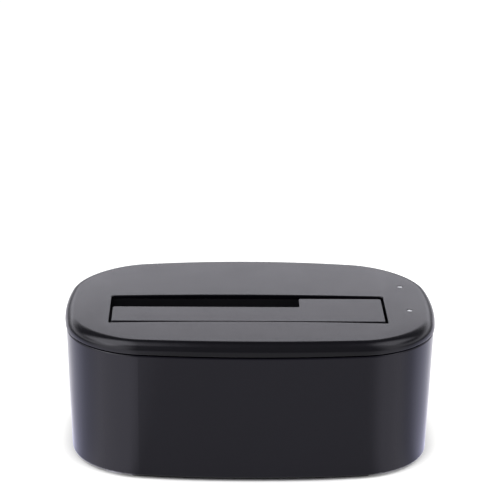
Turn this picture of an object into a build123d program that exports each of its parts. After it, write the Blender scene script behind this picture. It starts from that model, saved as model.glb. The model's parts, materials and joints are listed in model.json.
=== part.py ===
from build123d import *
from math import acos, atan2, copysign, cos, degrees, hypot, pi, radians, sin, sqrt, tan
import os

# Hard drive docking station: a drafted housing with a crowned cover, a drive well
# under a sprung L-shaped flap, and a board with its ports behind the well.
# Millimetres. X runs left to right, -Y is the front, Z is up, and the origin is the
# middle of the footprint, on the surface that the dock stands on.

os.makedirs("parts", exist_ok=True)

# Drive slot for a 3.5 inch drive, with a mouth for a 2.5 inch one at its rear left
slot_width = 103.6
slot_depth = 28.2
slot_corner_radius = 1.0
small_drive_width = 69.85
small_drive_height = 9.5
small_drive_side_play = 1.5
small_drive_gap = 1.7

# Heights, stacked up from the ground to the top of the cover
ground_gap = 1.3
base_thickness = 2.4
standoff_height = 2.3
board_thickness = 1.6
well_floor_lift = 4.9
well_depth = 42.5
seam_drop = 5.0
base_top = ground_gap + base_thickness
board_bottom = base_top + standoff_height
board_top = board_bottom + board_thickness
well_floor_top = board_top + well_floor_lift
overall_height = well_floor_top + well_depth
seam_height = overall_height - seam_drop

# Outer form, drawn round the slot
left_margin = 17.15
right_margin = 19.05
front_margin = 23.57
rear_margin = 41.13
front_radius = 352.0
corner_radius = 31.4
side_radius = 125.0
crown_drop = 0.57
cut_overrun = 1.0
overall_width = left_margin + slot_width + right_margin
overall_depth = front_margin + slot_depth + rear_margin
slot_left = left_margin - overall_width / 2
slot_right = overall_width / 2 - right_margin
slot_front = front_margin - overall_depth / 2
slot_rear = overall_depth / 2 - rear_margin
slot_centre_x = (slot_left + slot_right) / 2
slot_centre_y = (slot_front + slot_rear) / 2

# Fits
seat_gap = 0.15
fit_gap = 0.3
running_gap = 0.05
press_gap = 0.03

# Centres of the three arcs that make a quarter of the outline, tangent to each other
side_centre_x = overall_width / 2 - side_radius
front_centre_y = overall_depth / 2 - front_radius
side_reach = side_radius - corner_radius
front_reach = front_radius - corner_radius
centre_gap = hypot(side_centre_x, front_centre_y)
reach_along = (side_reach**2 - front_reach**2 + centre_gap**2) / (2 * centre_gap)
reach_across = sqrt(side_reach**2 - reach_along**2)
lean_x = -side_centre_x / centre_gap
lean_y = front_centre_y / centre_gap
corner_x = side_centre_x + reach_along * lean_x - reach_across * lean_y
corner_y = reach_along * lean_y + reach_across * lean_x
side_angle = degrees(atan2(corner_y, corner_x - side_centre_x))
front_angle = degrees(atan2(corner_y - front_centre_y, corner_x))


def housing_outline(inset=0, mode=Mode.ADD):
    # The plan outline, drawn in by inset all round: every arc keeps its centre.
    arcs = [
        (side_centre_x, 0, side_radius, -side_angle, side_angle),
        (corner_x, corner_y, corner_radius, side_angle, front_angle),
        (0, front_centre_y, front_radius, front_angle, 180 - front_angle),
        (-corner_x, corner_y, corner_radius, 180 - front_angle, 180 - side_angle),
        (-side_centre_x, 0, side_radius, 180 - side_angle, 180 + side_angle),
        (-corner_x, -corner_y, corner_radius, 180 + side_angle, 180 + front_angle),
        (0, -front_centre_y, front_radius, 180 + front_angle, 360 - front_angle),
        (corner_x, -corner_y, corner_radius, 360 - front_angle, 360 - side_angle),
    ]
    with BuildLine() as border:
        for centre_x, centre_y, radius, start, end in arcs:
            CenterArc((centre_x, centre_y), radius - inset, start, end - start)
    make_face(border.edges(), mode=mode)


def span(low_x, low_y, high_x, high_y, mode=Mode.ADD):
    # A rectangle given by two opposite corners.
    with Locations(((low_x + high_x) / 2, (low_y + high_y) / 2)):
        Rectangle(high_x - low_x, high_y - low_y, mode=mode)


def save(part, name):
    part.label = name
    export_step(part, "parts/" + name + ".step")


# Housing walls
body_inset = 0.3
body_draft = 1.9
body_wall = 2.2
shadow_gap = 0.4
rim_ledge_inset = 1.3
body_foot_radius = 0.8
base_lip = 1.2


def drawn_in(height):
    # How far the drafted body wall stands in from the cover's outline at a height.
    return body_inset + (seam_height - height) * tan(radians(body_draft))


# Corner posts of the cover, which the base screws reach
post_inset = 7.4
post_radius = 2.8
post_bore_radius = 1.1
post_bore_depth = 10.0
post_angle = 60
gusset_reach = 6.0
gusset_depth = 8.0
gusset_thickness = 1.2
post_x = corner_x + (corner_radius - post_inset) * cos(radians(post_angle))
post_y = corner_y + (corner_radius - post_inset) * sin(radians(post_angle))
post_places = [(x, y) for x in (-post_x, post_x) for y in (-post_y, post_y)]

# Flap, and its hinge in front of the slot
flap_side_gap = 1.0
flap_front_gap = 1.2
flap_rear_gap = 2.2
flap_sink = 0.75
flap_thickness = 2.0
flap_lip_depth = 3.5
flap_edge_radius = 1.2
flap_inner_radius = 0.5
flap_corner_radius = 1.0
hinge_setback = 4.22
hinge_drop = 3.75
hinge_inset = 24.0
barrel_radius = 2.0
barrel_length = 10.0
flap_left = slot_left + flap_side_gap
flap_right = slot_right - flap_side_gap
flap_front = slot_front + flap_front_gap
flap_rear = slot_rear - flap_rear_gap
flap_top = overall_height - flap_sink
flap_under = flap_top - flap_thickness
lip_rear = flap_front + flap_thickness
lip_bottom = flap_top - flap_lip_depth
mouth_front = slot_rear - small_drive_height - small_drive_gap
mouth_right = slot_left + small_drive_width + small_drive_side_play
hinge_y = slot_front - hinge_setback
hinge_z = flap_top - hinge_drop
hinge_pin_radius = 1.0

# Drive well. Its front wall stands behind the flap's underside when that is folded,
# the bay above it clears the flap's lip, and two pockets hold the hinges.
well_wall = 2.0
well_step = 0.3
cover_thickness = 2.3
flange_recess = 0.7
flange_width = 3.0
flange_thickness = 2.0
bay_drop = 8.5
pocket_reach = 3.3
guide_height = 2.9
guide_slope = 4.0
cover_under = overall_height - cover_thickness
well_top = cover_under + flange_recess
well_left = slot_left - well_step
well_right = slot_right + well_step
well_rear = slot_rear + well_step
well_floor = well_floor_top - well_wall
fold_front = hinge_y + flap_under - hinge_z - fit_gap
bay_front = hinge_y - seat_gap
bay_floor = hinge_z - bay_drop
pocket_front = hinge_y - pocket_reach
guide_front = slot_front - well_step
guide_top = well_floor_top + guide_height

# Hinge pockets along X: outer ear, barrel, spring, inner ear
ear_plate = 2.4
ear_plate_radius = 2.4
spring_room = 4.6
pocket_outward = barrel_length / 2 + fit_gap
pocket_inward = barrel_length / 2 + fit_gap + spring_room
hinges = [(slot_left + hinge_inset, -1), (slot_right - hinge_inset, 1)]

# Screw ears that hang the well from bosses of the cover
ear_radius = 3.6
ear_thickness = 2.2
ear_drop = 6.9
ear_front_inset = 5.4
ear_rear_inset = 0.9
ear_bore_radius = 1.3
boss_bore_radius = 1.0
boss_bore_depth = 5.5
boss_radius = 2.8
ear_top = cover_under - ear_drop
ear_front_y = slot_front + ear_front_inset
ear_rear_y = slot_rear - ear_rear_inset
ear_left_x = well_left - well_wall - boss_radius - fit_gap
ear_right_x = well_right + well_wall + boss_radius + fit_gap
ear_places = [(x, y) for x in (ear_left_x, ear_right_x) for y in (ear_front_y, ear_rear_y)]

# Light pipes, right of the slot
pipe_radius = 1.05
pipe_flange_radius = 2.0
pipe_flange_height = 1.0
pipe_sink = 0.45
rear_light_offset = 7.65
rear_light_setback = 11.8
front_light_offset = 9.15
front_light_setback = 14.3
rear_light_x = slot_right + rear_light_offset
rear_light_y = slot_rear + rear_light_setback
front_light_x = slot_right + front_light_offset
front_light_y = slot_front + front_light_setback
light_places = [(rear_light_x, rear_light_y), (front_light_x, front_light_y)]

# Top cover, crowned from side to side
cover_edge_radius = 3.7
skirt_depth = 2.5
skirt_thickness = 1.2
slot_edge_radius = 0.35
skirt_inset = drawn_in(seam_height - skirt_depth) + body_wall + seat_gap
crown_radius = ((slot_width / 2) ** 2 + crown_drop**2) / (2 * crown_drop)
crown_centre_z = overall_height - crown_radius

# Gussets of a post: how far each turns from the outward direction, and its reach
skirt_reach = post_inset - skirt_inset - skirt_thickness / 2
gussets = [(-90, gusset_reach), (0, skirt_reach), (90, gusset_reach)]


def pocket_span(hinge_x, side, margin):
    # The X range of a hinge pocket with both of its ears, widened by margin.
    outer = hinge_x + side * (pocket_outward + ear_plate + margin)
    inner = hinge_x - side * (pocket_inward + ear_plate + margin)
    return min(outer, inner), max(outer, inner)


with BuildPart() as top_cover:
    with BuildSketch(Plane.XY.offset(seam_height)):
        housing_outline()
    extrude(amount=overall_height - seam_height)
    with BuildSketch(Plane.XZ.offset(-overall_depth)):
        with Locations((0, crown_centre_z)):
            Circle(crown_radius)
    extrude(amount=2 * overall_depth, mode=Mode.INTERSECT)
    fillet(top_cover.faces().sort_by(Axis.Z)[-1].edges(), cover_edge_radius)
    # Skirt that centres the cover in the body
    with BuildSketch(Plane.XY.offset(seam_height - skirt_depth)):
        housing_outline(skirt_inset)
    extrude(amount=skirt_depth)
    with BuildSketch(Plane.XY.offset(seam_height - skirt_depth)):
        housing_outline(skirt_inset + skirt_thickness)
    extrude(amount=cover_under - seam_height + skirt_depth, mode=Mode.SUBTRACT)
    # Recess for the well's flange
    with BuildSketch(Plane.XY.offset(cover_under - cut_overrun)):
        rim = well_wall + flange_width + fit_gap
        span(well_left - rim, bay_front - well_wall - fit_gap, well_right + rim, well_rear + rim)
        for hinge_x, side in hinges:
            low_x, high_x = pocket_span(hinge_x, side, fit_gap)
            span(low_x, pocket_front - well_wall - fit_gap, high_x, bay_front)
    extrude(amount=well_top - cover_under + cut_overrun, mode=Mode.SUBTRACT)
    # Posts for the base screws and bosses for the well screws
    with BuildSketch(Plane.XY.offset(base_top)):
        with Locations(*post_places):
            Circle(post_radius)
            Circle(post_bore_radius, mode=Mode.SUBTRACT)
    extrude(amount=post_bore_depth)
    with BuildSketch(Plane.XY.offset(base_top + post_bore_depth)):
        with Locations(*post_places):
            Circle(post_radius)
    extrude(amount=cover_under - base_top - post_bore_depth)
    for place_x, place_y in post_places:
        outward = atan2(place_y - copysign(corner_y, place_y), place_x - copysign(corner_x, place_x))
        for turn, reach in gussets:
            way = outward + radians(turn)
            blade = Plane(
                (place_x, place_y, cover_under),
                x_dir=(cos(way), sin(way), 0),
                z_dir=(sin(way), -cos(way), 0),
            )
            with BuildSketch(blade.offset(-gusset_thickness / 2)):
                with BuildLine():
                    Polyline(
                        (0, 0),
                        (reach, 0),
                        (post_radius, -gusset_depth),
                        (0, -gusset_depth),
                        close=True,
                    )
                make_face()
            extrude(amount=gusset_thickness)
    with BuildSketch(Plane.XY.offset(ear_top)):
        with Locations(*ear_places):
            Circle(boss_radius)
    extrude(amount=well_top - ear_top)
    with BuildSketch(Plane.XY.offset(ear_top)):
        with Locations(*ear_places):
            Circle(boss_bore_radius)
    extrude(amount=boss_bore_depth, mode=Mode.SUBTRACT)
    # The slot and the windows for the lights
    with BuildSketch(Plane.XY.offset(cover_under)):
        with Locations((slot_centre_x, slot_centre_y)):
            RectangleRounded(slot_width, slot_depth, slot_corner_radius)
    extrude(amount=overall_height - cover_under + cut_overrun, mode=Mode.SUBTRACT)
    top_face = top_cover.faces().filter_by(GeomType.CYLINDER).sort_by(SortBy.AREA)[-1]
    fillet(top_face.inner_wires().edges(), slot_edge_radius)
    with BuildSketch(Plane.XY.offset(cover_under - cut_overrun)):
        with Locations(*light_places):
            Circle(pipe_radius + running_gap)
    extrude(amount=overall_height - cover_under + 2 * cut_overrun, mode=Mode.SUBTRACT)
save(top_cover.part, "top_cover")

# Flat port bay, sunk into the curved rear wall
panel_sink = 4.25
panel_thickness = 2.0
panel_left = -36.0
panel_right = 37.0
panel_bottom = 5.6
panel_top = 22.6
panel_corner_radius = 1.5
panel_y = overall_depth / 2 - panel_sink
panel_inner = panel_y - panel_thickness
window_gap = 0.35

# Board on its standoffs, which sets the heights of the ports
board_inset = 6.6
board_left_reach = 1.25
board_front_reach = 7.4
board_rear_gap = 1.4
standoff_radius = 2.6
standoff_left_inset = 7.0
standoff_right_inset = 16.9
standoff_front_inset = 4.5
standoff_rear_inset = 11.8
standoff_stagger = 10.0
board_left = slot_left - board_left_reach
board_front = slot_front + board_front_reach
board_rear = panel_inner - board_rear_gap
standoff_left = board_left + standoff_left_inset
standoff_right = overall_width / 2 - standoff_right_inset
standoff_front = board_front + standoff_front_inset
standoff_rear = board_rear - standoff_rear_inset
standoff_places = [
    (standoff_left, standoff_front),
    (standoff_left, standoff_rear),
    (standoff_right, standoff_front),
    (standoff_right - standoff_stagger, standoff_rear),
]

# Ports and power switch
usb_x = -20.0
usb_width = 12.0
usb_height = 11.2
usb_depth = 17.0
port_sink = 0.3
jack_x = 2.5
jack_width = 9.0
jack_height = 11.0
jack_depth = 11.5
jack_axis_height = 6.2
jack_collar_radius = 4.1
switch_x = 24.0
switch_width = 15.0
switch_height = 10.5
switch_depth = 11.0
usb_z = board_top + usb_height / 2
jack_z = board_top + jack_axis_height
switch_z = board_top + switch_height / 2

# Body, open above and below
with BuildPart() as body_shell:
    with BuildSketch(Plane.XY.offset(seam_height - shadow_gap)):
        housing_outline(drawn_in(seam_height - shadow_gap))
    extrude(amount=ground_gap - seam_height + shadow_gap, taper=body_draft)
    fillet(body_shell.faces().sort_by(Axis.Z)[0].edges(), body_foot_radius)
    with BuildSketch(Plane.XY.offset(seam_height - shadow_gap)):
        housing_outline(rim_ledge_inset)
    extrude(amount=shadow_gap)
    with BuildSketch(Plane.XY.offset(seam_height)):
        housing_outline(body_inset + body_wall)
    extrude(amount=ground_gap - seam_height, taper=body_draft, mode=Mode.SUBTRACT)
    # Rabbet that takes the base plate
    with BuildSketch(Plane.XY.offset(ground_gap - cut_overrun)):
        housing_outline(drawn_in(ground_gap) + base_lip)
    extrude(amount=base_thickness + cut_overrun, mode=Mode.SUBTRACT)
    # Pad inside the port bay, then the bay itself
    with BuildSketch(Plane.XZ.offset(-panel_inner)):
        span(
            panel_left - panel_thickness,
            base_top,
            panel_right + panel_thickness,
            panel_top + panel_thickness,
        )
    extrude(amount=-panel_thickness)
    with BuildSketch(Plane.XZ.offset(-panel_y)):
        with Locations(((panel_left + panel_right) / 2, (panel_bottom + panel_top) / 2)):
            RectangleRounded(panel_right - panel_left, panel_top - panel_bottom, panel_corner_radius)
    extrude(amount=panel_y - overall_depth, mode=Mode.SUBTRACT)
    # Windows for the USB port, the round power jack and the switch
    with BuildSketch(Plane.XZ.offset(cut_overrun - panel_inner)):
        with Locations((usb_x, usb_z)):
            Rectangle(usb_width + 2 * window_gap, usb_height + 2 * window_gap)
        with Locations((jack_x, jack_z)):
            Circle(jack_collar_radius + window_gap)
        with Locations((switch_x, switch_z)):
            Rectangle(switch_width + 2 * window_gap, switch_height + 2 * window_gap)
    extrude(amount=-panel_thickness - 2 * cut_overrun, mode=Mode.SUBTRACT)
save(body_shell.part, "body_shell")

# Foot strips, set into grooves under the base
base_head_radius = 2.9
foot_inset = 2.1
foot_width = 8.0
foot_end_gap = 2.2
foot_groove = 0.6
foot_corner_radius = 1.8
foot_edge_radius = 0.5
foot_length = 2 * (post_x - base_head_radius - foot_end_gap)


def foot_outline(side, margin=0):
    # A band that follows the front or rear edge: side is -1 in front and 1 at the rear.
    edge = drawn_in(ground_gap) + foot_inset
    housing_outline(edge - margin)
    housing_outline(edge + foot_width + margin, mode=Mode.SUBTRACT)
    with Locations((0, side * overall_depth / 2)):
        Rectangle(foot_length + 2 * margin, overall_depth, mode=Mode.INTERSECT)


def foot_strip(side):
    with BuildPart() as strip:
        with BuildSketch() as band:
            foot_outline(side)
            fillet(band.vertices().group_by(Axis.X)[0], foot_corner_radius)
            fillet(band.vertices().group_by(Axis.X)[-1], foot_corner_radius)
        extrude(amount=ground_gap + foot_groove)
        fillet(strip.faces().sort_by(Axis.Z)[0].edges(), foot_edge_radius)
    return strip.part


save(foot_strip(-1), "front_foot_strip")
save(foot_strip(1), "rear_foot_strip")

# Base plate with board standoffs, screw pockets and vents
base_inset = drawn_in(ground_gap) + base_lip + seat_gap
base_bore_radius = 1.5
base_head_depth = 1.5
standoff_bore_radius = 1.0
vent_width = 2.0
vent_length = 16.0
vent_pitch = 5.0
vent_count = 9
vent_y = 14.0

with BuildPart() as base_plate:
    with BuildSketch(Plane.XY.offset(ground_gap)):
        housing_outline(base_inset)
    extrude(amount=base_thickness)
    with BuildSketch(Plane.XY.offset(base_top)):
        with Locations(*standoff_places):
            Circle(standoff_radius)
    extrude(amount=board_bottom - base_top)
    with BuildSketch(Plane.XY.offset(base_top)):
        with Locations(*standoff_places):
            Circle(standoff_bore_radius)
    extrude(amount=board_bottom - base_top, mode=Mode.SUBTRACT)
    with Locations(*[Plane((x, y, ground_gap), z_dir=(0, 0, -1)) for x, y in post_places]):
        CounterBoreHole(base_bore_radius, base_head_radius, base_head_depth)
    with BuildSketch(Plane.XY.offset(ground_gap)):
        with Locations((0, vent_y), (0, -vent_y)):
            with GridLocations(vent_pitch, vent_pitch, vent_count, 1):
                SlotOverall(vent_length, vent_width, rotation=90)
    extrude(amount=base_thickness, mode=Mode.SUBTRACT)
    with BuildSketch(Plane.XY.offset(ground_gap)):
        foot_outline(-1, seat_gap)
    extrude(amount=foot_groove, mode=Mode.SUBTRACT)
    with BuildSketch(Plane.XY.offset(ground_gap)):
        foot_outline(1, seat_gap)
    extrude(amount=foot_groove, mode=Mode.SUBTRACT)
save(base_plate.part, "base_plate")

# SATA receptacle, which stands on the board and reaches up through the well's floor
sata_offset = 31.0
sata_setback = 4.6
sata_length = 42.0
sata_width = 6.0
sata_height = 9.0
sata_foot_width = 7.4
sata_foot_height = 2.2
sata_edge = 0.5
sata_pocket_depth = 6.2
sata_pocket_width = 2.2
sata_key_width = 1.3
sata_key_reach = 1.3
signal_length = 10.6
power_length = 20.8
sata_rib = 2.4
sata_x = slot_left + sata_offset
sata_y = slot_rear - sata_setback
sata_top = board_top + sata_height
tongue_left = sata_x - (signal_length + power_length + sata_rib) / 2
power_right = tongue_left + power_length
signal_left = power_right + sata_rib
signal_right = signal_left + signal_length
pocket_low = sata_y - sata_pocket_width / 2
pocket_high = sata_y + sata_pocket_width / 2

with BuildPart() as sata_receptacle:
    with BuildSketch(Plane.XY.offset(board_top)):
        with Locations((sata_x, sata_y)):
            Rectangle(sata_length, sata_foot_width)
    extrude(amount=sata_foot_height)
    with BuildSketch(Plane.XY.offset(board_top + sata_foot_height)):
        with Locations((sata_x, sata_y)):
            Rectangle(sata_length, sata_width)
    extrude(amount=sata_height - sata_foot_height)
    chamfer(sata_receptacle.faces().sort_by(Axis.Z)[-1].edges(), sata_edge)
    with BuildSketch(Plane.XY.offset(sata_top - sata_pocket_depth)):
        span(tongue_left, pocket_low, power_right, pocket_high)
        span(tongue_left, pocket_low - sata_key_reach, tongue_left + sata_key_width, pocket_high)
        span(signal_left, pocket_low, signal_right, pocket_high)
        span(signal_left, pocket_low - sata_key_reach, signal_left + sata_key_width, pocket_high)
    extrude(amount=sata_pocket_depth, mode=Mode.SUBTRACT)
save(sata_receptacle.part, "sata_receptacle")

contact_pitch = 1.27
contact_width = 0.7
contact_thickness = 0.3
contact_bow = 0.45
contact_sink = 0.8


def contact_row(first_x, last_x, count):
    # Bowed contact blades along the rear wall of a pocket of the receptacle.
    low_z = sata_top - sata_pocket_depth
    high_z = sata_top - contact_sink
    mid_z = (low_z + high_z) / 2
    back = pocket_high - press_gap
    face = back - contact_thickness
    first = (first_x + last_x - contact_width - (count - 1) * contact_pitch) / 2
    with BuildPart() as row:
        for index in range(count):
            with BuildSketch(Plane.YZ.offset(first + index * contact_pitch)):
                with BuildLine():
                    Line((back, low_z), (back, high_z))
                    Line((back, high_z), (face, high_z))
                    Line((face, high_z), (face - contact_bow, mid_z))
                    Line((face - contact_bow, mid_z), (face, low_z))
                    Line((face, low_z), (back, low_z))
                make_face()
            extrude(amount=contact_width)
    return row.part


power_contact_count = 15
signal_contact_count = 7
save(contact_row(tongue_left + sata_key_width, power_right, power_contact_count), "sata_power_contacts")
save(contact_row(signal_left + sata_key_width, signal_right, signal_contact_count), "sata_signal_contacts")

# Drive well
well_outer_left = well_left - well_wall
well_outer_right = well_right + well_wall
rib_thickness = 1.2
rib_reach = 2.0
rib_pitch = 21.0
rib_count = 5
nose_width = 4.0
nose_half_height = 0.8
nose_reach = 2.6
stop_reach = 1.6
stop_height = 2.0
spring_wire_radius = 0.25
spring_radius = 2.0

with BuildPart() as drive_well:
    with BuildSketch(Plane.YZ.offset(well_outer_left)):
        with BuildLine():
            Polyline(
                (well_rear + well_wall, well_top),
                (well_rear + well_wall, well_floor),
                (guide_front - well_wall, well_floor),
                (guide_front - well_wall, guide_top),
                (fold_front - well_wall, guide_top + guide_slope),
                (fold_front - well_wall, bay_floor - well_wall),
                (bay_front - well_wall, bay_floor - well_wall),
                (bay_front - well_wall, well_top),
                close=True,
            )
        make_face()
    extrude(amount=well_outer_right - well_outer_left)
    # Blocks round the hinge pockets
    with BuildSketch(Plane.XY.offset(bay_floor - well_wall)):
        for hinge_x, side in hinges:
            low_x, high_x = pocket_span(hinge_x, side, 0)
            span(low_x, pocket_front - well_wall, high_x, bay_front)
    extrude(amount=well_top - bay_floor + well_wall)
    # Ribs down the rear wall
    with BuildSketch(Plane.XY.offset(well_floor)):
        with Locations((slot_centre_x, well_rear + well_wall + rib_reach / 2)):
            with GridLocations(rib_pitch, rib_pitch, rib_count, 1):
                Rectangle(rib_thickness, rib_reach)
    extrude(amount=well_top - well_floor)
    # Flange, cut away round the cover's bosses
    with BuildSketch(Plane.XY.offset(well_top - flange_thickness)):
        span(
            well_outer_left - flange_width,
            bay_front - well_wall,
            well_outer_right + flange_width,
            well_rear + well_wall + flange_width,
        )
        with Locations(*ear_places):
            Circle(boss_radius + fit_gap, mode=Mode.SUBTRACT)
    extrude(amount=flange_thickness)
    # Ears for the well screws
    with BuildSketch(Plane.XY.offset(ear_top - ear_thickness)):
        for place_x, place_y in ear_places:
            wall_x = max(min(place_x, well_outer_right), well_outer_left)
            with Locations((place_x, place_y)):
                Circle(ear_radius)
            low_x = min(place_x, wall_x)
            high_x = max(place_x, wall_x)
            span(low_x, place_y - ear_radius, high_x, place_y + ear_radius)
        with Locations(*ear_places):
            Circle(ear_bore_radius, mode=Mode.SUBTRACT)
    extrude(amount=ear_thickness)
    # The space for the drive and the folded flap
    with BuildSketch(Plane.YZ.offset(well_left)):
        with BuildLine():
            Polyline(
                (well_rear, well_top + cut_overrun),
                (well_rear, well_floor_top),
                (guide_front, well_floor_top),
                (guide_front, guide_top),
                (fold_front, guide_top + guide_slope),
                (fold_front, bay_floor),
                (bay_front, bay_floor),
                (bay_front, well_top + cut_overrun),
                close=True,
            )
        make_face()
    extrude(amount=well_right - well_left, mode=Mode.SUBTRACT)
    # Hinge pockets, then the ears in them
    with BuildSketch(Plane.XY.offset(bay_floor)):
        for hinge_x, side in hinges:
            low_x, high_x = pocket_span(hinge_x, side, -well_wall)
            span(low_x, pocket_front, high_x, bay_front)
    extrude(amount=well_top - bay_floor + cut_overrun, mode=Mode.SUBTRACT)
    for hinge_x, side in hinges:
        outer_x = hinge_x + side * (pocket_outward + ear_plate / 2)
        inner_x = hinge_x - side * (pocket_inward + ear_plate / 2)
        for plate_x in (outer_x, inner_x):
            with BuildSketch(Plane.YZ.offset(plate_x - ear_plate / 2)):
                with Locations((hinge_y, hinge_z)):
                    Circle(ear_plate_radius)
                span(pocket_front, hinge_z - ear_plate_radius, hinge_y, hinge_z + ear_plate_radius)
            extrude(amount=ear_plate)
        low_x, high_x = pocket_span(hinge_x, side, 0)
        with BuildSketch(Plane.YZ.offset(low_x)):
            with Locations((hinge_y, hinge_z)):
                Circle(hinge_pin_radius + press_gap)
        extrude(amount=high_x - low_x, mode=Mode.SUBTRACT)
        # Ledge under the flap's stop nose
        with BuildSketch(Plane.YZ.offset(hinge_x - nose_width / 2)):
            ledge_top = hinge_z - nose_half_height - nose_half_height - fit_gap
            span(pocket_front, ledge_top - stop_height, pocket_front + stop_reach, ledge_top)
        extrude(amount=nose_width)
    # Window in the floor for the receptacle
    with BuildSketch(Plane.XY.offset(well_floor)):
        with Locations((sata_x, sata_y)):
            Rectangle(sata_length + 2 * fit_gap, sata_foot_width + 2 * fit_gap)
    extrude(amount=well_wall, mode=Mode.SUBTRACT)
save(drive_well.part, "drive_well")

# L-shaped flap: a plate whose front edge turns down to two hinge barrels
arm_height = 1.6

with BuildPart() as flap:
    with BuildSketch(Plane.YZ.offset(flap_left)) as section:
        with BuildLine():
            Polyline(
                (flap_rear, flap_top),
                (flap_front, flap_top),
                (flap_front, lip_bottom),
                (lip_rear, lip_bottom),
                (lip_rear, flap_under),
                (flap_rear, flap_under),
                close=True,
            )
        make_face()
        fillet(section.vertices().sort_by_distance((flap_front, flap_top))[0], flap_edge_radius)
        fillet(section.vertices().sort_by_distance((lip_rear, flap_under))[0], flap_inner_radius)
    extrude(amount=flap_right - flap_left)
    # The mouth for a 2.5 inch drive
    with BuildSketch(Plane.XY.offset(flap_under - cut_overrun)):
        span(flap_left - cut_overrun, mouth_front, mouth_right, flap_rear + cut_overrun)
    extrude(amount=flap_thickness + 2 * cut_overrun, mode=Mode.SUBTRACT)
    upright = flap.edges().filter_by(Axis.Z).filter_by(lambda edge: edge.center().Y > lip_rear)
    fillet(upright, flap_corner_radius)
    for hinge_x, side in hinges:
        with BuildSketch(Plane.YZ.offset(hinge_x - barrel_length / 2)):
            with Locations((hinge_y, hinge_z)):
                Circle(barrel_radius)
            with BuildLine():
                Polyline(
                    (hinge_y, hinge_z + arm_height),
                    (lip_rear, lip_bottom + arm_height / 2),
                    (lip_rear, lip_bottom - arm_height),
                    (hinge_y, hinge_z - arm_height),
                    close=True,
                )
            make_face()
        extrude(amount=barrel_length)
        # Nose that stops the flap when it is shut
        with BuildSketch(Plane.YZ.offset(hinge_x - nose_width / 2)):
            nose_top = hinge_z
            span(hinge_y - nose_reach, nose_top - 2 * nose_half_height, hinge_y, nose_top)
        extrude(amount=nose_width)
        with BuildSketch(Plane.YZ.offset(hinge_x - barrel_length / 2)):
            with Locations((hinge_y, hinge_z)):
                Circle(hinge_pin_radius + running_gap)
        extrude(amount=barrel_length, mode=Mode.SUBTRACT)
save(flap.part, "flap")

# Hinge pins, one in each pocket
pin_chamfer = 0.25

with BuildPart() as flap_hinge_pins:
    for hinge_x, side in hinges:
        low_x, high_x = pocket_span(hinge_x, side, -seat_gap)
        with BuildSketch(Plane.YZ.offset(low_x)):
            with Locations((hinge_y, hinge_z)):
                Circle(hinge_pin_radius)
        extrude(amount=high_x - low_x)
    chamfer(flap_hinge_pins.edges().filter_by(GeomType.CIRCLE), pin_chamfer)
save(flap_hinge_pins.part, "flap_hinge_pins")

# Torsion springs: one leg hangs at the pocket's front, the other lifts the flap's lip
spring_turns = 3
spring_leg = sqrt((pocket_reach - fit_gap - spring_wire_radius) ** 2 - spring_radius**2)
lift_y = flap_front + flap_thickness / 2 - hinge_y
lift_z = lip_bottom - fit_gap - 3 * spring_wire_radius - hinge_z
lift_angle = degrees(atan2(lift_z, lift_y))
leave_angle = lift_angle + degrees(acos(spring_radius / hypot(lift_y, lift_z)))
coil_share = (180 - leave_angle) / 360
spring_pitch = (spring_room - 2 * fit_gap - 4 * spring_wire_radius) / (spring_turns + 1)
lift_length = sqrt(lift_y**2 + lift_z**2 - spring_radius**2)
coil_steps = 2 * spring_turns + 1
coil_rise = spring_pitch / (2 * pi)


def coil_point(step):
    # A place on the coil and the wire's direction there, in the coil's own frame.
    angle = 2 * pi * (spring_turns + coil_share) * step / coil_steps
    place = Vector(spring_radius * cos(angle), spring_radius * sin(angle), coil_rise * angle)
    way = Vector(-spring_radius * sin(angle), spring_radius * cos(angle), coil_rise)
    return place, way.normalized()


def coil_arcs(first_step, last_step):
    # About half a turn of the coil as two arcs that share their directions.
    start, start_way = coil_point(first_step)
    end, end_way = coil_point(last_step)
    chord = end - start
    lean = chord.dot(start_way + end_way)
    spread = 2 * (1 - start_way.dot(end_way))
    reach = (sqrt(lean**2 + spread * chord.dot(chord)) - lean) / spread
    middle = (start + end + (start_way - end_way) * reach) / 2
    TangentArc(start, middle, tangent=start_way)
    TangentArc(middle, end, tangent=middle - start - start_way * reach)


with BuildPart() as flap_springs:
    for hinge_x, side in hinges:
        start_x = hinge_x - barrel_length / 2 - fit_gap - 2 * spring_wire_radius
        if side < 0:
            start_x = hinge_x + pocket_inward - fit_gap - 2 * spring_wire_radius
        coil_plane = Plane((start_x, hinge_y, hinge_z), x_dir=(0, -1, 0), z_dir=(-1, 0, 0))
        with BuildLine() as coil:
            first, first_way = coil_point(0)
            Line(first - first_way * spring_leg, first)
            for step in range(coil_steps):
                coil_arcs(step, step + 1)
            last, last_way = coil_point(coil_steps)
            Line(last, last + last_way * lift_length)
        wire = coil_plane.from_local_coords(coil.wires()[0])
        with BuildSketch(Plane(wire @ 0, z_dir=wire % 0)) as section:
            Circle(spring_wire_radius)
        sweep(section.sketch, path=wire)
save(flap_springs.part, "flap_springs")

# Circuit board, cut to the housing and round the rear posts
board_bore_radius = 1.2

with BuildPart() as circuit_board:
    with BuildSketch(Plane.XY.offset(board_bottom)):
        housing_outline(board_inset)
        span(board_left, board_front, overall_width, board_rear, mode=Mode.INTERSECT)
        with Locations(*post_places):
            Circle(post_radius + 2 * fit_gap, mode=Mode.SUBTRACT)
        with Locations(*standoff_places):
            Circle(board_bore_radius, mode=Mode.SUBTRACT)
    extrude(amount=board_thickness)
save(circuit_board.part, "circuit_board")

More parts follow.
